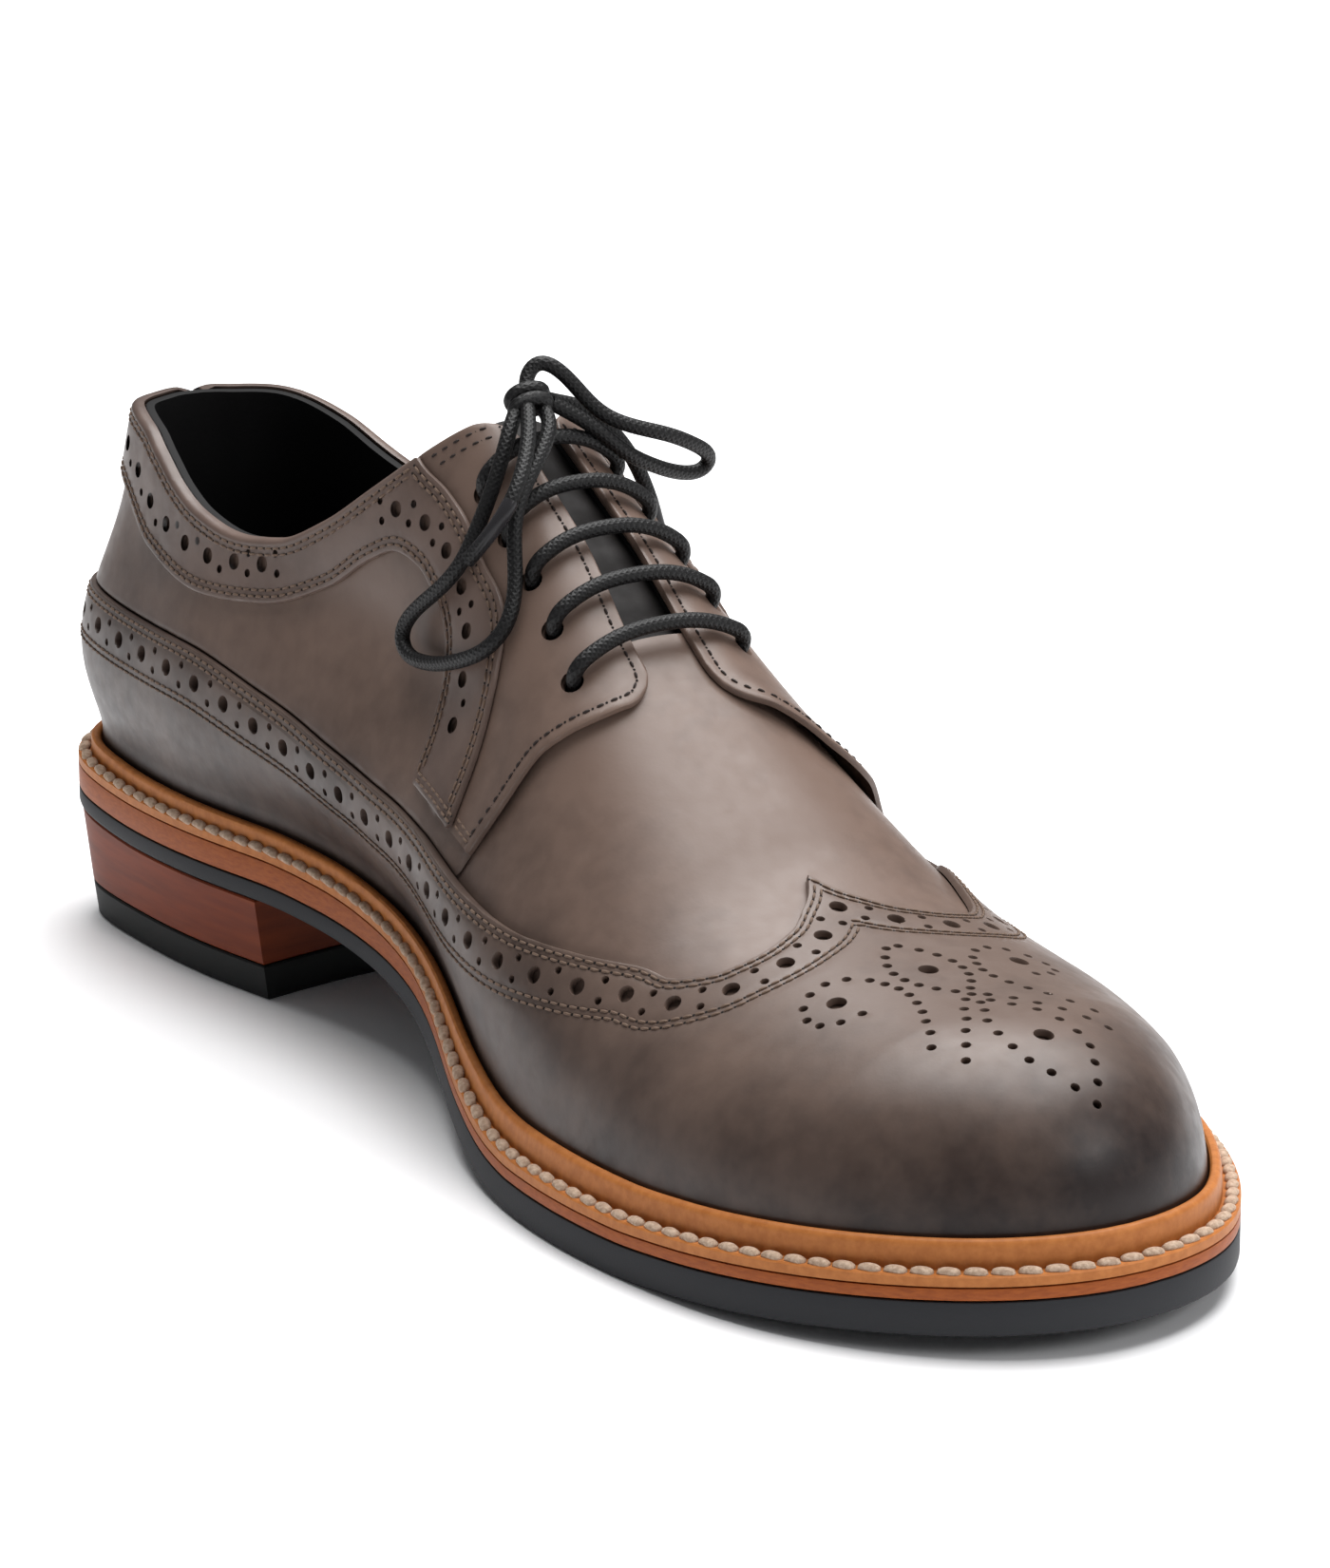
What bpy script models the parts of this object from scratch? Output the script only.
"""Longwing brogue, the wearer's left shoe, as separate solids.

The shoe stands on its sole. The toe points to -Y, the inner (medial) side faces -X, the outer
(lateral) side +X, and +Z is up. The origin is on the floor, under the middle of the sole.
All lengths are in metres. "Along" is the share of the length, from the heel's back to the toe.
"""
import math

import bmesh
import bpy
import numpy as np

# Driving sizes of the sole
LENGTH = 0.305            # outsole, heel to toe
BALL_WIDTH = 0.1095       # outsole, across the ball
SEAT_HEIGHT = 0.0202      # underside of the outsole above the floor, at the heel
OUTSOLE = 0.0059          # rubber outsole
MIDSOLE = 0.0020          # leather midsole
WELT = 0.0018             # flat ledge of the welt
RIB_HEIGHT = 0.0050       # rib of the storm welt above the ledge
RIB_THICKNESS = 0.0019
EDGE_ROUND = 0.0009       # rounded lower edge of the outsole
INSOLE = 0.0032

# Driving sizes of the heel
TOP_LIFT = 0.0066         # rubber top piece, which meets the floor
HEEL_LENGTH = 0.0780      # heel's back to the breast
BREAST_DEPTH = 0.0030     # how far the breast is hollowed
HEEL_TAPER = 0.0032       # inset of the heel at the floor
HEEL_STEP = 0.0005        # inset of the heel under the outsole

# Driving sizes of the upper
INSTEP_HEIGHT = 0.1165    # top of the throat above the floor
BACK_HEIGHT = 0.1005      # top of the collar at the heel's back
UPPER_WALL = 0.0017       # vamp, stiffener and lining
QUARTER = 0.0011          # leather of the quarters
WING = 0.0013             # leather of the wing cap
WING_LIFT = 0.0007        # how far the wing cap rides up over the quarters
WING_OVER = 0.60          # along: it starts to ride up here, over this run
WING_OVER_RUN = 0.06
BAND = 0.0009             # leather of the collar band and its strap
TONGUE = 0.0022
TONGUE_WIDTH = 0.040
TONGUE_TOP = 0.122        # along the length, from the heel's back
TONGUE_FOOT = 0.188
THROAT = 0.1668           # foot of the lacing, from the heel's back
UNDERLAP = 0.0010         # how far the wall under a facing stays behind its edge
VAMP_BACK = 0.155         # back edge of the vamp under the quarters, from the heel's back
STRAP_FOOT = 0.0052       # foot of the strap above the wing cap's edge
FACING_CORNER = 0.006     # rounded corners of the facings
BELLY_FROM = 0.0070       # the wall stands straight up to here, above the midsole
BELLY_SPAN = 0.050        # height over which the wall bulges
HEEL_CENTRE = 0.0366      # the ribs of the last fan round these two places
TOE_CENTRE = 0.264
FIT = 0.0003              # clearance between pieces that meet
EDGE_SNAP = 0.00012       # a cut this close to a corner goes through it
FLAT_ANGLE = math.radians(1.2)

# Lacing
EYELET_FIRST = 0.1672     # lowest pair, from the heel's back
EYELET_LAST = 0.1310      # highest pair
EYELET_PAIRS = 5
LACE = 0.0029             # round waxed lace
BAR_BOW = 0.0006          # how far a bar bows up between the facings
BAR_SLACK = 0.0003
KNOT = 0.0080             # thickness of the knot
CORD_STEP = 2.4           # spacing of a cord's points, in diameters

OUTLINE = (               # along, then half-widths as shares of BALL_WIDTH: medial, lateral
    (0.000, 0.000, 0.000),
    (0.025, 0.218, 0.204),
    (0.090, 0.274, 0.303),
    (0.200, 0.277, 0.329),
    (0.320, 0.237, 0.338),
    (0.440, 0.266, 0.355),
    (0.560, 0.397, 0.438),
    (0.680, 0.476, 0.511),
    (0.780, 0.475, 0.524),
    (0.870, 0.422, 0.439),
    (0.945, 0.296, 0.300),
    (0.985, 0.158, 0.170),
    (1.000, 0.000, 0.000),
)


def smooth(places, values):
    """A curve through the values that never overshoots them."""
    x = np.asarray(places, float)
    y = np.asarray(values, float)
    step = np.diff(x)
    slope = np.diff(y) / step
    tangent = np.zeros(len(x))
    tangent[0], tangent[-1] = slope[0], slope[-1]
    for k in range(1, len(x) - 1):
        if slope[k - 1] * slope[k] > 0:
            before = 2 * step[k] + step[k - 1]
            after = step[k] + 2 * step[k - 1]
            tangent[k] = (before + after) / (before / slope[k - 1] + after / slope[k])

    def value(place):
        place = np.clip(place, x[0], x[-1])
        k = np.clip(np.searchsorted(x, place, side="right") - 1, 0, len(x) - 2)
        t = (place - x[k]) / step[k]
        return ((1 + 2 * t) * (1 - t) ** 2 * y[k] + t * (1 - t) ** 2 * step[k] * tangent[k]
                + t * t * (3 - 2 * t) * y[k + 1] + t * t * (t - 1) * step[k] * tangent[k + 1])
    return value


def table(names, *rows):
    """Each named column as a smooth curve over the first column."""
    places = [row[0] for row in rows]
    return {name: smooth(places, [row[k] for row in rows])
            for k, name in enumerate(names.split()) if k}


SOLE_LINE = table(        # underside of the outsole above the floor, as a share of SEAT_HEIGHT
    "along height",
    (0.00, 1.17), (0.06, 1.06), (0.13, 1.00), (0.26, 0.985), (0.32, 0.92), (0.38, 0.80),
    (0.44, 0.64), (0.50, 0.45), (0.56, 0.22), (0.62, 0.03), (0.65, 0.00), (0.755, 0.00),
    (0.80, 0.03), (0.87, 0.10), (0.94, 0.165), (1.00, 0.22))

RIB = table(              # height of the welt's rib as a share of RIB_HEIGHT
    "along share",
    (0.00, 0.70), (0.42, 0.70), (0.62, 1.00), (1.00, 1.00))

RUBBER = table(           # thickness of the rubber as a share of OUTSOLE; the midsole fills the rest
    "along share",
    (0.00, 0.58), (0.30, 0.60), (0.42, 0.76), (0.55, 1.00), (1.00, 1.00))

LEDGE = table(            # welt's edge to the upper, in metres
    "along width",
    (0.00, 0.0048), (0.10, 0.0043), (0.20, 0.0036), (0.30, 0.0031), (0.42, 0.0031),
    (0.58, 0.0042), (0.66, 0.0048), (1.00, 0.0053))

FORM = table(             # sections of the last: ridge as a share of INSTEP_HEIGHT, how flat the
    # crown is, how full each side is, and bulge of each side as a share of BALL_WIDTH
    "along ridge crown side_medial side_lateral belly_medial belly_lateral",
    (0.000, 1.300, 2.80, 2.80, 2.80, 0.036, 0.036),
    (0.030, 1.300, 1.66, 1.66, 1.66, 0.048, 0.046),
    (0.120, 1.300, 1.95, 1.95, 1.95, 0.044, 0.042),
    (0.200, 1.280, 2.30, 2.30, 2.30, 0.050, 0.048),
    (0.300, 1.190, 2.45, 2.40, 2.35, 0.070, 0.060),
    (0.360, 1.085, 2.50, 2.30, 2.22, 0.084, 0.070),
    (0.400, 1.000, 2.50, 2.18, 2.10, 0.084, 0.070),
    (0.440, 0.929, 2.50, 2.10, 2.02, 0.076, 0.068),
    (0.500, 0.822, 2.50, 2.00, 1.94, 0.064, 0.058),
    (0.557, 0.714, 2.45, 1.90, 1.86, 0.050, 0.046),
    (0.610, 0.616, 2.35, 1.84, 1.83, 0.036, 0.036),
    (0.655, 0.532, 2.25, 1.83, 1.84, 0.027, 0.028),
    (0.693, 0.461, 2.18, 1.90, 1.92, 0.018, 0.023),
    (0.730, 0.422, 2.15, 2.10, 2.05, 0.014, 0.018),
    (0.780, 0.398, 2.20, 2.30, 2.10, 0.009, 0.014),
    (0.870, 0.379, 2.30, 2.40, 2.20, 0.005, 0.009),
    (1.000, 0.379, 2.42, 2.45, 2.40, 0.003, 0.003))

TOPLINE = table(          # collar's edge as a share of BACK_HEIGHT
    "along medial lateral",
    (0.000, 1.000, 1.000), (0.060, 1.000, 0.990), (0.100, 0.980, 0.945), (0.125, 0.945, 0.905),
    (0.150, 0.906, 0.876), (0.180, 0.874, 0.854), (0.220, 0.856, 0.841), (0.260, 0.871, 0.856),
    (0.300, 0.925, 0.905), (0.340, 1.005, 0.985), (0.370, 1.070, 1.055), (0.395, 1.130, 1.120),
    (0.415, 1.180, 1.175), (0.430, 1.300, 1.300), (1.000, 2.000, 2.000))

WING_SIDE = table(        # upper edge of the wing cap along the sides, as a share of BACK_HEIGHT
    "along height",
    (0.000, 0.655), (0.120, 0.640), (0.185, 0.636), (0.275, 0.600), (0.387, 0.540),
    (0.470, 0.500), (0.548, 0.450), (0.613, 0.430), (0.685, 0.428), (0.740, 0.400),
    (1.000, 0.300))

WING_FRONT = table(       # front edge of the wing cap: across as a share of BALL_WIDTH, then along
    "across along",
    (0.000, 0.695), (0.025, 0.709), (0.055, 0.719), (0.100, 0.732), (0.165, 0.738),
    (0.220, 0.734), (0.265, 0.718), (0.310, 0.686), (0.360, 0.640), (0.600, 0.560))

QUARTER_FRONT = table(    # front edge of the quarters: height as a share of BACK_HEIGHT, then along
    "height medial lateral",
    (0.430, 0.520, 0.585), (0.530, 0.536, 0.598), (0.600, 0.547, 0.608), (0.640, 0.551, 0.609),
    (0.680, 0.556, 0.603), (0.720, 0.567, 0.596), (0.765, 0.580, 0.586), (0.800, 0.580, 0.576),
    (0.840, 0.573, 0.562), (0.880, 0.562, 0.556), (1.200, 0.562, 0.556))

LACING = table(           # along, then the throat's middle and half width, and the holes' reach
    "along middle half reach",
    (0.380, 0.0014, 0.0038, 0.0142), (0.430, 0.0024, 0.0041, 0.0150),
    (0.485, 0.0024, 0.0046, 0.0164), (0.515, 0.0016, 0.0050, 0.0172),
    (0.550, 0.0004, 0.0055, 0.0183), (0.580, 0.0000, 0.0057, 0.0186))

BAND_LOW = table(         # lower edge of the collar band and its strap, as a share of BACK_HEIGHT
    "along height",
    (0.000, 0.870), (0.060, 0.860), (0.125, 0.765), (0.193, 0.728), (0.259, 0.748),
    (0.311, 0.810), (0.350, 0.885), (0.374, 0.912), (0.395, 0.900), (0.415, 0.865),
    (0.430, 0.830), (0.440, 0.780), (0.446, 0.700), (0.450, 0.600), (0.453, 0.400))

BAND_FRONT = table(       # front edge of the strap, as a share of BACK_HEIGHT
    "along height",
    (0.000, 2.000), (0.355, 1.200), (0.374, 1.080), (0.407, 1.030), (0.430, 0.990),
    (0.449, 0.945), (0.488, 0.860), (0.498, 0.790), (0.503, 0.720), (0.507, 0.600),
    (0.512, 0.400), (0.520, 0.300), (1.000, 0.200))

# Places of the cross-sections along the shoe, and of the levels from the feather to the ridge
SECTIONS = (0.0, 0.007, 0.027, 0.060, 0.102, 0.150, 0.200, 0.250, 0.298, 0.338, 0.374, 0.404,
            0.432, 0.462, 0.494, 0.526, 0.556, 0.584, 0.612, 0.640, 0.668, 0.694, 0.718, 0.742,
            0.774, 0.812, 0.848, 0.884, 0.918, 0.948, 0.973, 0.992, 1.0)
LEVELS = (0.0, 0.062, 0.16, 0.27, 0.39, 0.51, 0.63, 0.75, 0.86, 0.945, 0.987, 1.0)

# Routes of the bow, in millimetres: across, along from the heel's back, and height
KNOT_ROUTE = ((-6.4, 131.2, 119.2), (-4.6, 131.0, 120.0), (-1.5, 130.8, 120.6),
              (1.6, 130.8, 120.6), (3.2, 131.0, 120.2))
KNOT_SHAPE = (0.62, 0.94, 1.0, 0.94, 0.62)
CORD_ROUTES = {
    "lace_loop_medial": (
        (-8.3, 134.7, 116.0), (-10.1, 135.9, 113.1), (-13.6, 137.0, 106.5), (-16.7, 136.9, 100.0),
        (-19.3, 136.1, 94.4), (-21.0, 131.8, 89.4), (-21.9, 124.9, 84.1), (-22.6, 121.2, 79.3),
        (-23.4, 124.4, 76.4), (-23.8, 132.8, 76.6), (-24.2, 143.1, 79.5), (-23.2, 150.5, 83.2),
        (-20.3, 152.1, 87.0), (-17.5, 150.4, 91.6), (-15.8, 148.0, 96.9), (-15.0, 146.4, 101.8),
        (-12.6, 144.3, 106.4), (-8.0, 141.8, 111.0), (-4.0, 139.5, 114.2), (-0.8, 136.6, 117.4)),
    "lace_loop_lateral": (
        (1.0, 127.5, 125.4), (2.0, 128.6, 127.0), (4.2, 129.8, 125.7), (7.2, 131.0, 122.6),
        (9.8, 132.2, 119.0), (13.0, 133.9, 115.8), (17.6, 136.0, 113.9), (24.0, 136.8, 111.9),
        (30.8, 135.8, 108.7), (35.4, 133.8, 105.6), (34.6, 132.6, 103.0), (29.4, 133.2, 103.4),
        (22.6, 134.4, 105.9), (15.6, 135.2, 109.6)),
    "lace_end_medial": (
        (-6.4, 138.2, 117.2), (-8.7, 141.2, 114.9), (-12.8, 145.3, 110.8), (-16.8, 147.2, 106.2),
        (-19.2, 145.2, 101.6), (-21.5, 141.7, 96.6)),
    "lace_end_lateral": (
        (6.4, 127.8, 118.4), (11.2, 127.2, 117.0), (17.2, 126.8, 112.8), (22.6, 126.6, 106.6),
        (26.6, 126.4, 99.0), (28.8, 126.4, 92.0), (30.8, 126.6, 85.4)),
}

COLOURS = {               # colour, roughness
    "rubber": ((0.030, 0.031, 0.035), 0.60),
    "top_rubber": ((0.014, 0.015, 0.015), 0.65),
    "heel_leather": ((0.105, 0.030, 0.014), 0.38),
    "edge_leather": ((0.270, 0.085, 0.028), 0.45),
    "welt_leather": ((0.420, 0.155, 0.050), 0.45),
    "insole_leather": ((0.300, 0.200, 0.120), 0.70),
    "lining": ((0.012, 0.012, 0.013), 0.60),
    "upper_leather": ((0.165, 0.130, 0.110), 0.38),
    "wing_leather": ((0.120, 0.095, 0.082), 0.36),
    "band_leather": ((0.140, 0.112, 0.096), 0.38),
    "tongue_leather": ((0.075, 0.062, 0.055), 0.50),
    "lace": ((0.009, 0.009, 0.010), 0.45),
}


def clear_scene():
    for thing in list(bpy.data.objects):
        bpy.data.objects.remove(thing, do_unlink=True)


def material(name):
    found = bpy.data.materials.get(name)
    if found:
        return found
    made = bpy.data.materials.new(name)
    made.use_nodes = True
    colour, roughness = COLOURS[name]
    shader = made.node_tree.nodes["Principled BSDF"]
    shader.inputs["Base Color"].default_value = (*colour, 1.0)
    shader.inputs["Roughness"].default_value = roughness
    shader.inputs["Metallic"].default_value = 0.0
    return made


def closed_curve(points, count):
    """A smooth closed curve through the points, read at even steps of its own length."""
    p = np.asarray(points, float)
    n = len(p)
    gap = np.sqrt(np.linalg.norm(np.roll(p, -1, 0) - p, axis=1))
    system = np.zeros((n, n))
    right = np.zeros((n, 2))
    for k in range(n):
        before, after, follow = gap[k - 1], gap[k], (k + 1) % n
        system[k, k - 1] += before
        system[k, k] += 2 * (before + after)
        system[k, follow] += after
        right[k] = 6 * ((p[follow] - p[k]) / after - (p[k] - p[k - 1]) / before)
    bend = np.linalg.solve(system, right)
    start = np.concatenate([[0], np.cumsum(gap)])
    t = np.linspace(0, start[-1], 4 * count, endpoint=False)
    k = np.searchsorted(start, t, side="right") - 1
    follow = (k + 1) % n
    h = gap[k][:, None]
    u = (t - start[k])[:, None]
    v = h - u
    fine = (bend[k] * v ** 3 / (6 * h) + bend[follow] * u ** 3 / (6 * h)
            + (p[k] / h - bend[k] * h / 6) * v + (p[follow] / h - bend[follow] * h / 6) * u)
    loop = np.vstack([fine, fine[:1]])
    length = np.concatenate([[0], np.cumsum(np.linalg.norm(np.diff(loop, axis=0), axis=1))])
    even = np.linspace(0, length[-1], count, endpoint=False)
    return np.stack([np.interp(even, length, loop[:, axis]) for axis in (0, 1)], -1)


def inset(curve, amount):
    """The closed curve moved inwards by an amount, which may differ from point to point."""
    tangent = np.roll(curve, -1, 0) - np.roll(curve, 1, 0)
    normal = np.stack([tangent[:, 1], -tangent[:, 0]], -1)
    normal /= np.linalg.norm(normal, axis=1)[:, None]
    return curve + normal * np.broadcast_to(amount, len(curve))[:, None]


def ring(curve, sections):
    """The closed curve at matching places of both sides: heel, medial, toe, lateral."""
    heel, toe = np.argmin(curve[:, 1]), np.argmax(curve[:, 1])
    turned = np.roll(curve, -heel, 0)
    tip = (toe - heel) % len(curve)
    medial, lateral = turned[:tip + 1], np.vstack([turned[tip:], turned[:1]])[::-1]
    low, high = turned[0, 1], turned[tip, 1]
    places = low + (high - low) * np.asarray(sections)
    left = np.stack([np.interp(places, medial[:, 1], medial[:, 0]), places], -1)
    right = np.stack([np.interp(places, lateral[:, 1], lateral[:, 0]), places], -1)
    left[0, 0] = left[-1, 0] = 0.0
    return np.vstack([left, right[-2:0:-1]])


def outline():
    medial = [(-row[1] * BALL_WIDTH, row[0] * LENGTH) for row in OUTLINE]
    lateral = [(row[2] * BALL_WIDTH, row[0] * LENGTH) for row in OUTLINE[-2:0:-1]]
    return closed_curve(medial + lateral, 720)


WELT_CURVE = outline()
MIDDLE = (WELT_CURVE[:, 0].max() + WELT_CURVE[:, 0].min()) / 2
UPPER_CURVE = inset(WELT_CURVE, LEDGE["width"](WELT_CURVE[:, 1] / LENGTH))


def wing_out(s):
    """Outer face of the wing cap over the last's form; it rides up over the quarters."""
    behind = np.clip((WING_OVER - s / LENGTH) / WING_OVER_RUN, 0, 1)
    return FIT + WING + WING_LIFT * behind


FEATHER = ring(inset(UPPER_CURVE, wing_out(UPPER_CURVE[:, 1])), SECTIONS)


def sole_height(along):
    return SEAT_HEIGHT * SOLE_LINE["height"](along / LENGTH)


def rubber_top(along):
    return sole_height(along) + OUTSOLE * RUBBER["share"](along / LENGTH)


def midsole_top(along):
    return sole_height(along) + OUTSOLE + FIT + MIDSOLE


def seat(along):
    """Height at which the upper, the welt and the insole rest."""
    return midsole_top(along) + FIT


def form(feather, levels, out=0.0):
    """The last's surface over the feather line, moved outwards by out.

    Each rib of the surface rises from a point of the feather line to the ridge. Ribs lie in planes
    across the shoe, but round the heel and the toe they fan out from one place of the ridge.
    """
    x, s = feather[:, :1], feather[:, 1:]
    along = s / LENGTH
    top = np.clip(s, HEEL_CENTRE, TOE_CENTRE)
    ridge = INSTEP_HEIGHT * FORM["ridge"](top / LENGTH)
    lateral = np.clip(0.5 + x / 0.008, 0, 1)
    crown = FORM["crown"](along)
    side = (1 - lateral) * FORM["side_medial"](along) + lateral * FORM["side_lateral"](along)
    belly = (1 - lateral) * FORM["belly_medial"](along) + lateral * FORM["belly_lateral"](along)
    base = seat(s)
    level = np.asarray(levels)[None, :]
    inward = (1 - level ** side) ** (1 / crown)
    height = (ridge - base) * level
    rise = np.clip((height - BELLY_FROM) / BELLY_SPAN, 0, 1)
    bulge = belly * BALL_WIDTH * np.sin(math.pi * rise ** 0.75) ** 2
    radius = np.hypot(x, s - top)
    reach = inward * (1 + bulge / radius)
    points = np.stack([x * reach, top + (s - top) * reach, base + height], -1)
    if not np.any(out):
        return points
    return points + outward(points) * np.asarray(out)[..., None]


def outward(points):
    """Unit normals of the last's surface, equal on both sides of the ridge."""
    along = np.roll(points, -1, 0) - np.roll(points, 1, 0)
    up = np.gradient(points, axis=1)
    normal = np.cross(up, along)
    normal[:, -1] = normal[:, -2]
    count = len(points)
    partner = (-np.arange(count)) % count
    normal /= np.linalg.norm(normal, axis=-1, keepdims=True)
    normal[:, -1] += normal[partner, -1]
    fan = points[:, -1, 1] >= TOE_CENTRE - 1e-9
    normal[fan, -1] = (0.0, 0.0, 1.0)
    normal[:, -1] /= np.linalg.norm(normal[:, -1], axis=-1, keepdims=True)
    return normal


def world(points):
    """From the shoe's own places, where the second number runs from heel to toe, to the frame."""
    p = np.asarray(points, float)
    return np.stack([p[..., 0] - MIDDLE, LENGTH / 2 - p[..., 1], p[..., 2]], -1)


def add_object(name, vertices, faces, finish, flat_joined=False):
    """A closed body; small faces that lie in one plane can be joined into one."""
    mesh = bpy.data.meshes.new(name)
    mesh.from_pydata([tuple(v) for v in world(vertices)], [], faces)
    shell = bmesh.new()
    shell.from_mesh(mesh)
    if flat_joined:
        bmesh.ops.dissolve_limit(shell, angle_limit=FLAT_ANGLE, verts=shell.verts,
                                 edges=shell.edges)
    bmesh.ops.recalc_face_normals(shell, faces=shell.faces)
    shell.to_mesh(mesh)
    shell.free()
    mesh.shade_smooth()
    mesh.set_sharp_from_angle(angle=math.radians(35))
    thing = bpy.data.objects.new(name, mesh)
    bpy.context.collection.objects.link(thing)
    mesh.materials.append(material(finish))
    return thing


def grid_triangles():
    """Triangles of the last's grid, with the two sides sharing the ridge."""
    count, rows = len(FEATHER), len(LEVELS)
    toe_first = next(k for k in range(count) if FEATHER[k, 1] >= TOE_CENTRE)

    def corner(rib, row):
        rib %= count
        if row < rows - 1:
            return rib * rows + row
        if FEATHER[rib, 1] >= TOE_CENTRE:
            return toe_first * rows + row
        return min(rib, (count - rib) % count) * rows + row

    for rib in range(count):
        for row in range(rows - 1):
            a, b = corner(rib, row), corner(rib + 1, row)
            c, d = corner(rib + 1, row + 1), corner(rib, row + 1)
            yield a, b, c
            if c != d:
                yield a, c, d


def split_triangle(triangle, parts):
    """Small triangles on one flat triangle; each corner is named by its weights of the big ones."""
    def corner(i, j):
        weights = zip(triangle, (parts - i - j, i, j))
        return tuple(sorted((key, weight) for key, weight in weights if weight))

    for i in range(parts):
        for j in range(parts - i):
            yield corner(i, j), corner(i + 1, j), corner(i, j + 1)
            if i + j + 2 <= parts:
                yield corner(i + 1, j), corner(i + 1, j + 1), corner(i, j + 1)


def panel(name, field, inner, outer, finish, parts=3):
    """A piece of the upper: the last's form between two offsets, where the field is positive."""
    low = form(FEATHER, LEVELS, inner).reshape(-1, 3)
    high = form(FEATHER, LEVELS, outer).reshape(-1, 3)
    plain = form(FEATHER, LEVELS).reshape(-1, 3)
    small = [t for triangle in grid_triangles() for t in split_triangle(triangle, parts)]
    keys = list(dict.fromkeys(key for triangle in small for key in triangle))
    number = {key: k for k, key in enumerate(keys)}

    def blend(points):
        return np.array([sum(points[c] * weight for c, weight in key) / parts for key in keys])

    low, high, plain = blend(low), blend(high), blend(plain)
    value = field(plain)
    value[np.abs(value) < EDGE_SNAP] = 0.0
    vertices, index, faces, edges = [], {}, [], {}

    def vertex(a, b):
        """Number of the outer vertex at a corner, or on the edge between two of them."""
        if (a, b) not in index:
            share = 0.0 if a == b else value[a] / (value[a] - value[b])
            index[(a, b)] = len(vertices)
            vertices.append(high[a] + (high[b] - high[a]) * share)
            vertices.append(low[a] + (low[b] - low[a]) * share)
        return index[(a, b)]

    for triangle in small:
        corners = [number[key] for key in triangle]
        kept = []
        for a, b in zip(corners, corners[1:] + corners[:1]):
            if value[a] >= 0:
                kept.append(vertex(a, a))
            if value[a] * value[b] < 0:
                kept.append(vertex(a, b) if value[a] > value[b] else vertex(b, a))
        if len(set(kept)) < 3:
            continue
        faces.append(kept)
        faces.append([k + 1 for k in reversed(kept)])
        for a, b in zip(kept, kept[1:] + kept[:1]):
            edges[(a, b)] = True
    for a, b in edges:
        if (b, a) not in edges:
            faces.append([b, a, a + 1, b + 1])
    return add_object(name, vertices, faces, finish, flat_joined=True)


def layer(name, rings, finish):
    """A slab through rings of matching points, closed by strips across the shoe."""
    count = len(rings[0])
    half = count // 2
    vertices = np.vstack(rings)
    faces = []
    for k in range(len(rings) - 1):
        for a in range(count):
            b = (a + 1) % count
            faces.append((k * count + a, k * count + b, (k + 1) * count + b, (k + 1) * count + a))
    for start in (0, (len(rings) - 1) * count):
        for a in range(half):
            strip = [a, a + 1, (count - a - 1) % count, (count - a) % count]
            faces.append([start + k for k in dict.fromkeys(strip)])
    return add_object(name, vertices, faces, finish)


def at_height(plan, height):
    """Plan points with the height that a function gives for their place along the shoe."""
    return np.column_stack([plan, height(plan[:, 1])])


def outsole():
    edge, foot = ring(WELT_CURVE, SECTIONS), ring(inset(WELT_CURVE, EDGE_ROUND), SECTIONS)
    return layer("outsole", [
        at_height(foot, sole_height),
        at_height(edge, lambda s: sole_height(s) + EDGE_ROUND),
        at_height(edge, rubber_top)], "rubber")


def midsole():
    edge = ring(WELT_CURVE, SECTIONS)
    return layer("midsole", [
        at_height(edge, lambda s: rubber_top(s) + FIT),
        at_height(edge, midsole_top)], "edge_leather")


def insole():
    edge = inset(FEATHER, UPPER_WALL + FIT)
    return layer("insole", [
        at_height(edge, seat),
        at_height(edge, lambda s: seat(s) + INSOLE)], "insole_leather")


def welt():
    """A ring with a flat ledge outside and a rib that stands against the wing cap."""
    edge = ring(WELT_CURVE, SECTIONS)
    wing = form(FEATHER, LEVELS, wing_out(FEATHER[:, 1:]))

    def rib_top(s):
        return WELT + RIB_HEIGHT * RIB["share"](s / LENGTH)

    def against_wing(height, gap):
        """Plan of the wing cap's outer face at a height above the seat, moved outwards."""
        rise = wing[:, :, 2] - seat(FEATHER[:, 1:])
        height = np.broadcast_to(height, len(wing))
        plan = [[np.interp(height[k], rise[k], wing[k, :, axis]) for axis in (0, 1)]
                for k in range(len(wing))]
        return inset(np.array(plan), -gap)

    top = rib_top(FEATHER[:, 1])
    inner, inner_top = against_wing(0.0, FIT), against_wing(top, FIT)
    foot, foot_top = (against_wing(h, FIT + RIB_THICKNESS) for h in (0.0, top))
    crown = against_wing(top, FIT + 0.75 * RIB_THICKNESS)
    rings = [
        at_height(inner, seat),
        at_height(edge, seat),
        at_height(edge, lambda s: seat(s) + WELT),
        at_height(foot, lambda s: seat(s) + WELT),
        at_height(foot_top, lambda s: seat(s) + rib_top(s) - 0.2 * RIB_THICKNESS),
        at_height(crown, lambda s: seat(s) + rib_top(s)),
        at_height(inner_top, lambda s: seat(s) + rib_top(s))]
    count = len(edge)
    faces = []
    for k in range(len(rings)):
        follow = (k + 1) % len(rings)
        for a in range(count):
            b = (a + 1) % count
            faces.append((k * count + a, k * count + b, follow * count + b, follow * count + a))
    return add_object("welt", np.vstack(rings), faces, "welt_leather")


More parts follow.
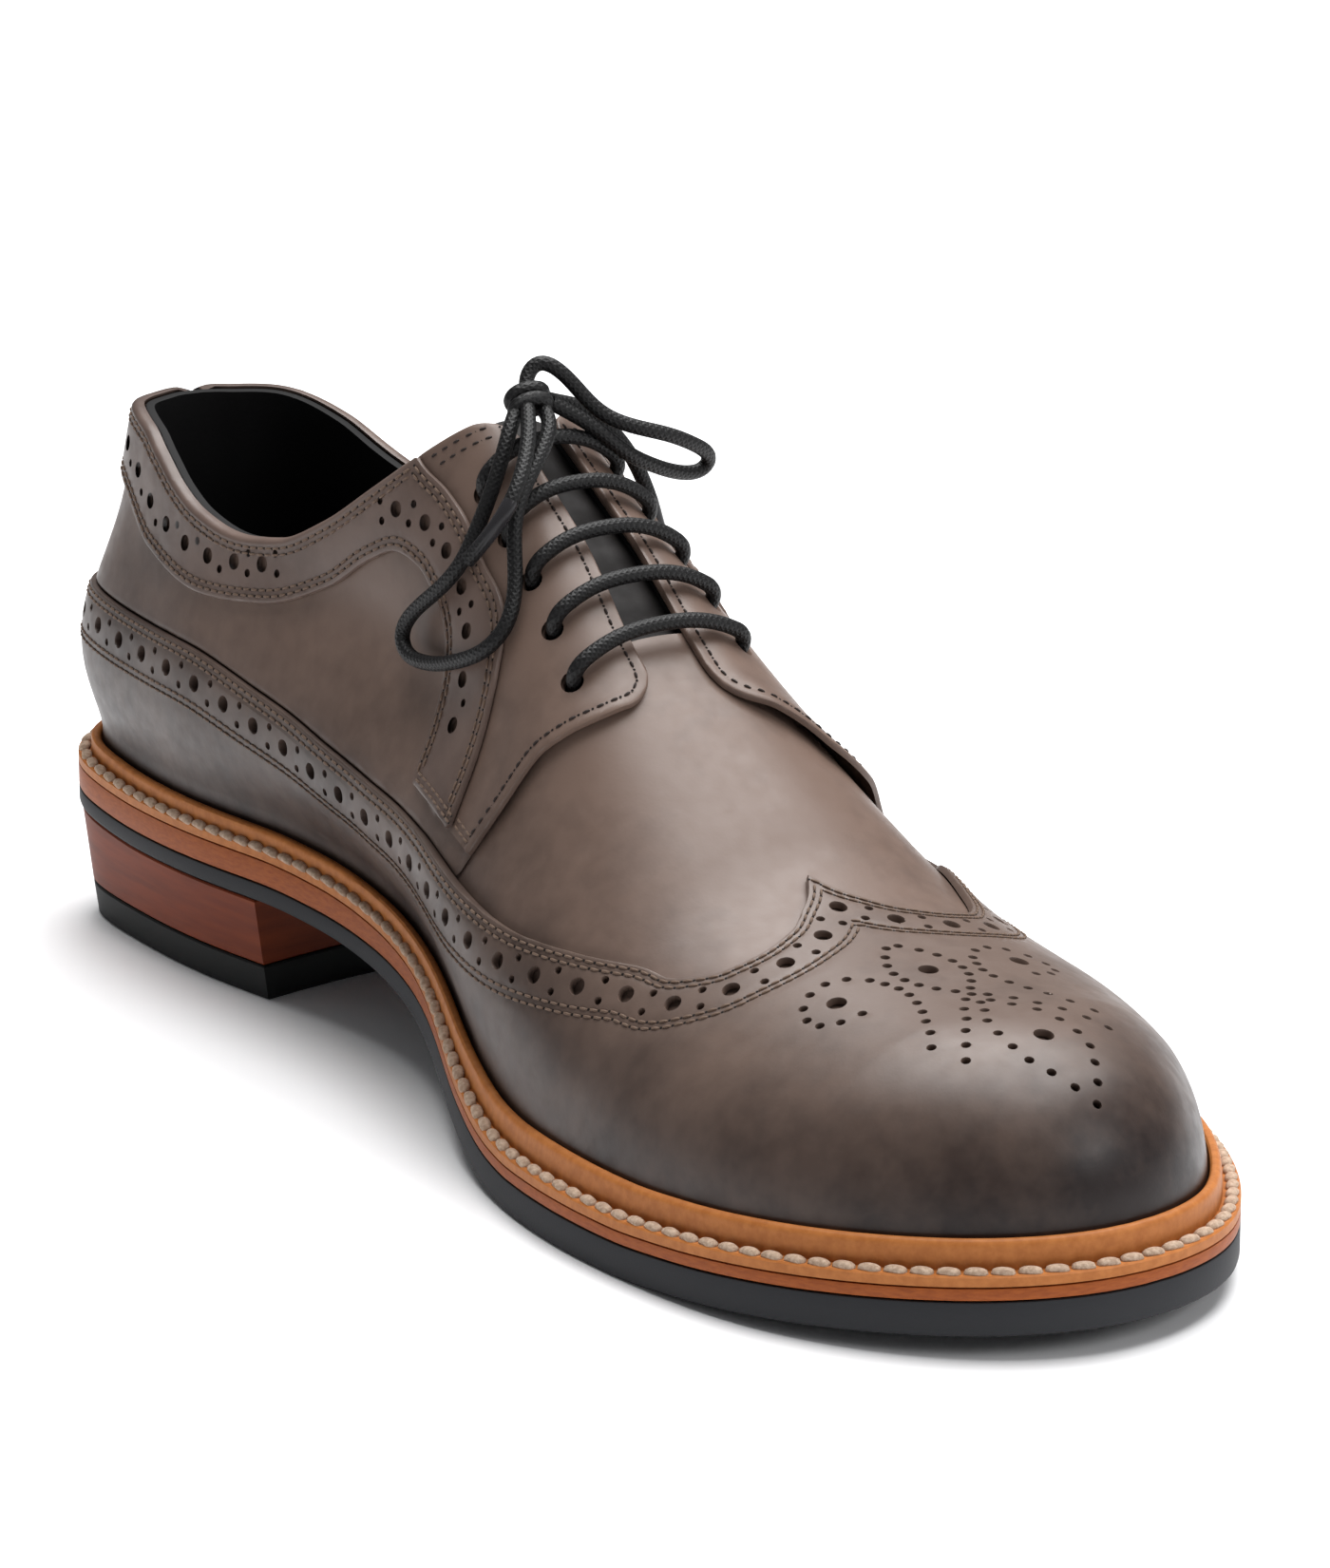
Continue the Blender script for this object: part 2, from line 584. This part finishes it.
def heel_plan(height):
    """Outline of the heel at a height: the sole's own outline, tapered, with a hollow breast."""
    share = 1 - height / SEAT_HEIGHT
    curve = inset(WELT_CURVE, HEEL_STEP + (HEEL_TAPER - HEEL_STEP) * share)
    low = curve[:, 1].min()
    places = (HEEL_LENGTH - low) * (1 - np.cos(np.linspace(0, math.pi / 2, 13))) ** 0.9
    sections = places / (curve[:, 1].max() - low)
    half = ring(curve, np.append(sections, 1.0))
    count = len(places)
    sides = np.vstack([half[:count], half[count + 1:]])
    return sides, count


def heel_block(name, low, high, finish):
    """A part of the heel between two heights, which may be functions of the place along."""
    rings = []
    for height in (low, high):
        sides, count = heel_plan(float(height(HEEL_LENGTH / 2)))
        left, right = sides[count - 1], sides[count]
        share = np.linspace(0, 1, 9)[1:-1]
        breast = left + (right - left) * share[:, None]
        breast[:, 1] -= BREAST_DEPTH * np.sin(math.pi * share)
        plan = np.vstack([sides[:count], breast, sides[count:]])
        rings.append(at_height(plan, height))
    total = len(rings[0])
    faces = [(a, (a + 1) % total, (a + 1) % total + total, a + total) for a in range(total)]
    for start in (0, total):
        for a in range(count - 2):
            strip = [a, a + 1, total - a - 1, (total - a) % total]
            faces.append([start + k for k in dict.fromkeys(strip)])
        faces.append([start + k for k in range(count - 2, total - count + 3)])
    return add_object(name, np.vstack(rings), faces, finish)


def heel():
    heel_block("top_lift", lambda s: 0.0 * s, lambda s: TOP_LIFT + 0.0 * s, "top_rubber")
    heel_block("heel_stack", lambda s: TOP_LIFT + FIT + 0.0 * s,
               lambda s: sole_height(s) - FIT, "heel_leather")


def beside_throat(points, margin=0.0):
    """Distance outside the throat between the facings; the heel is always outside."""
    x, s, z = split(points)
    along = s / LENGTH
    half = LACING["half"](along) + margin
    return np.maximum(np.abs(x - LACING["middle"](along)) - half, HEEL_CENTRE - s)


def behind_front(points):
    """Distance behind the quarters' front edges."""
    x, s, z = split(points)
    lateral = np.clip(0.5 + x / 0.012, 0, 1)
    height = z / BACK_HEIGHT
    along = (QUARTER_FRONT["medial"](height) * (1 - lateral)
             + QUARTER_FRONT["lateral"](height) * lateral)
    return along * LENGTH - s


def split(points):
    """Place across, along and height of points on the last."""
    return points[..., 0], points[..., 1], points[..., 2]


def below_topline(points):
    x, s, z = split(points)
    lateral = np.clip(0.5 + x / 0.012, 0, 1)
    edge = (1 - lateral) * TOPLINE["medial"](s / LENGTH) + lateral * TOPLINE["lateral"](s / LENGTH)
    return edge * BACK_HEIGHT - z


def in_wing(points):
    x, s, z = split(points)
    side = WING_SIDE["height"](s / LENGTH) * BACK_HEIGHT - z
    front = s - WING_FRONT["along"](np.abs(x) / BALL_WIDTH) * LENGTH
    return np.maximum(side, front)


def in_upper(points):
    x, s, z = split(points)
    throat = np.maximum(beside_throat(points, UNDERLAP), s - THROAT)
    return np.minimum(below_topline(points) - FIT, throat)


def round_corner(first, second):
    """Where both distances are positive, with the corner between them rounded off."""
    low = np.minimum(first, second)
    turn = FACING_CORNER - np.hypot(np.maximum(FACING_CORNER - first, 0),
                                    np.maximum(FACING_CORNER - second, 0))
    return np.where(low < FACING_CORNER, turn, low)


def in_quarter(points):
    """Both quarters: above the wing cap, behind the front edge, below the collar's edge."""
    throat, above = beside_throat(points), -in_wing(points) - FIT
    return np.minimum.reduce([round_corner(below_topline(points), throat),
                              round_corner(behind_front(points), throat), above])


def in_band(points):
    x, s, z = split(points)
    low = z - BAND_LOW["height"](s / LENGTH) * BACK_HEIGHT
    front = BAND_FRONT["height"](s / LENGTH) * BACK_HEIGHT - z
    return np.minimum.reduce([below_topline(points), low, front, -in_wing(points) - STRAP_FOOT])


def in_tongue(points):
    x, s, z = split(points)
    half = TONGUE_WIDTH / 2
    return np.minimum.reduce([half - np.abs(x), s - TONGUE_TOP, TONGUE_FOOT - s])


def uppers():
    for name, sign, finish in (("upper", -1, "lining"), ("vamp", 1, "upper_leather")):
        panel(name, lambda p: np.minimum(in_upper(p), sign * (p[..., 1] - VAMP_BACK) - FIT / 2),
              -UPPER_WALL, 0.0, finish)
    quarter_out = FIT + QUARTER
    panel("wing_cap", in_wing, FIT, wing_out(FEATHER[:, 1:]), "wing_leather")
    for side, sign in (("medial", -1), ("lateral", 1)):
        panel("quarter_" + side, lambda p: np.minimum(in_quarter(p), sign * p[..., 0] - FIT / 2),
              FIT, quarter_out, "upper_leather")
        panel("collar_band_" + side,
              lambda p: np.minimum(in_band(p), sign * p[..., 0] - FIT / 2),
              quarter_out + FIT, quarter_out + FIT + BAND, "band_leather")
    panel("tongue", in_tongue, -UPPER_WALL - FIT - TONGUE, -UPPER_WALL - FIT, "tongue_leather")


def lace_tube(name, points, thickness=LACE, shape=None):
    """A round tube along the points; shape gives the share of the thickness at each."""
    curve = bpy.data.curves.new(name, "CURVE")
    curve.dimensions = "3D"
    curve.bevel_depth = thickness / 2
    curve.bevel_resolution = 2
    curve.use_fill_caps = True
    spline = curve.splines.new("POLY")
    spline.points.add(len(points) - 1)
    for k, place in enumerate(world(points)):
        spline.points[k].co = (*place, 1.0)
        spline.points[k].radius = shape[k] if shape else 1.0
    curve.materials.append(material("lace"))
    bpy.context.collection.objects.link(bpy.data.objects.new(name, curve))


def lace_bars():
    """Straight lacing: each bar arches over the throat from one facing's hole to the other's."""
    feather = inset(UPPER_CURVE, wing_out(UPPER_CURVE[:, 1]))
    low, high = feather[:, 1].min(), feather[:, 1].max()
    levels = np.sin(np.linspace(0, math.pi / 2, 60))
    for pair in range(EYELET_PAIRS):
        s = EYELET_FIRST + (EYELET_LAST - EYELET_FIRST) * pair / (EYELET_PAIRS - 1)
        share = (s - low) / (high - low)
        ribs = ring(feather, (0, share - 0.01, share, share + 0.01, 1))
        surface = form(ribs, levels, FIT + QUARTER)
        normal = outward(surface)
        medial, lateral = 2, -2
        across = np.vstack([surface[medial], surface[lateral, -2::-1]])
        facing = np.vstack([normal[medial], normal[lateral, -2::-1]])
        step = np.linalg.norm(np.diff(across, axis=0), axis=1)
        arc = np.concatenate([[0], np.cumsum(step)])
        arc -= arc[len(levels) - 1]
        reach = LACING["reach"](s / LENGTH)
        places = np.linspace(-reach, reach, 9)
        lift = FIT + LACE / 2 + BAR_SLACK + BAR_BOW * np.cos(places / reach * math.pi / 2)
        places += LACING["middle"](s / LENGTH)
        points = [[np.interp(places, arc, side[:, axis]) for axis in (0, 1, 2)]
                  for side in (across, facing)]
        points = np.array(points[0]).T + np.array(points[1]).T * lift[:, None]
        lace_tube(f"lace_bar_{pair + 1}", points)


def along_route(route, spacing):
    """Points at even steps on a smooth curve through the route's points, in metres."""
    p = np.asarray(route, float) * 0.001
    t = np.concatenate([[0], np.cumsum(np.linalg.norm(np.diff(p, axis=0), axis=1) ** 0.5)])
    tangent = np.gradient(p, t, axis=0)
    fine = np.linspace(0, t[-1], 40 * len(p))
    k = np.clip(np.searchsorted(t, fine, side="right") - 1, 0, len(p) - 2)
    h = (t[k + 1] - t[k])[:, None]
    u = (fine - t[k])[:, None] / h
    curve = ((1 + 2 * u) * (1 - u) ** 2 * p[k] + u * (1 - u) ** 2 * h * tangent[k]
             + u * u * (3 - 2 * u) * p[k + 1] + u * u * (u - 1) * h * tangent[k + 1])
    length = np.concatenate([[0], np.cumsum(np.linalg.norm(np.diff(curve, axis=0), axis=1))])
    even = np.linspace(0, length[-1], max(3, round(length[-1] / spacing) + 1))
    return np.stack([np.interp(even, length, curve[:, axis]) for axis in (0, 1, 2)], -1)


def bow():
    lace_tube("lace_knot", np.asarray(KNOT_ROUTE) * 0.001, KNOT, KNOT_SHAPE)
    for name, route in CORD_ROUTES.items():
        lace_tube(name, along_route(route, CORD_STEP * LACE))


def main():
    clear_scene()
    outsole()
    midsole()
    welt()
    insole()
    heel()
    uppers()
    lace_bars()
    bow()


main()
